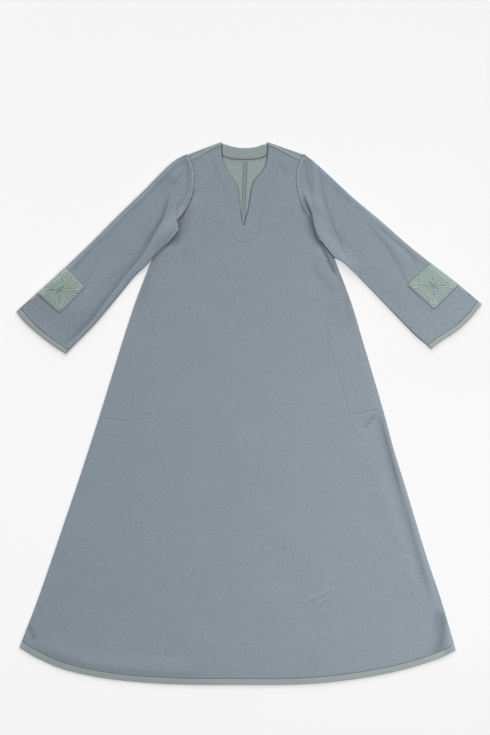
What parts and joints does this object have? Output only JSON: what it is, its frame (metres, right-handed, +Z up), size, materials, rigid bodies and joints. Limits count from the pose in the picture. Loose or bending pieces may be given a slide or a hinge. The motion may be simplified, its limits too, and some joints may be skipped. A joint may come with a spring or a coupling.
{
  "type": "thobe robe",
  "caption": "Long A-line robe with wide sleeves, a notched neckline and embroidered cuff squares, lying flat with its front up.",
  "frame": {"origin": "on the surface the robe lies on, at the middle of its box", "axes": "+X towards the wearer's left, +Y up the robe to the neck, +Z up from the surface it lies on"},
  "size_m": [1.249, 1.456, 0.0157],
  "materials": {
    "blue_grey_cloth": "matte, fine grained",
    "sage_cloth": "matte, fine grained",
    "embroidery": "couched cord, slight sheen"
  },
  "bodies": {
    "root": {"front": "blue_grey_cloth", "back_left": "blue_grey_cloth", "back_right": "blue_grey_cloth", "back_neck_band": "sage_cloth", "centre_back_tape": "blue_grey_cloth", "hem_band_front": "sage_cloth", "hem_band_back": "sage_cloth", "pocket_left": "blue_grey_cloth", "pocket_right": "blue_grey_cloth", "shoulder_strip_left": "sage_cloth", "shoulder_strip_right": "sage_cloth", "sleeve_left": "blue_grey_cloth", "sleeve_right": "blue_grey_cloth", "armhole_welt_left": "blue_grey_cloth", "armhole_welt_right": "blue_grey_cloth", "cuff_band_left": "sage_cloth", "cuff_band_right": "sage_cloth", "patch_left": "embroidery", "patch_right": "embroidery"}
  },
  "joints": []
}
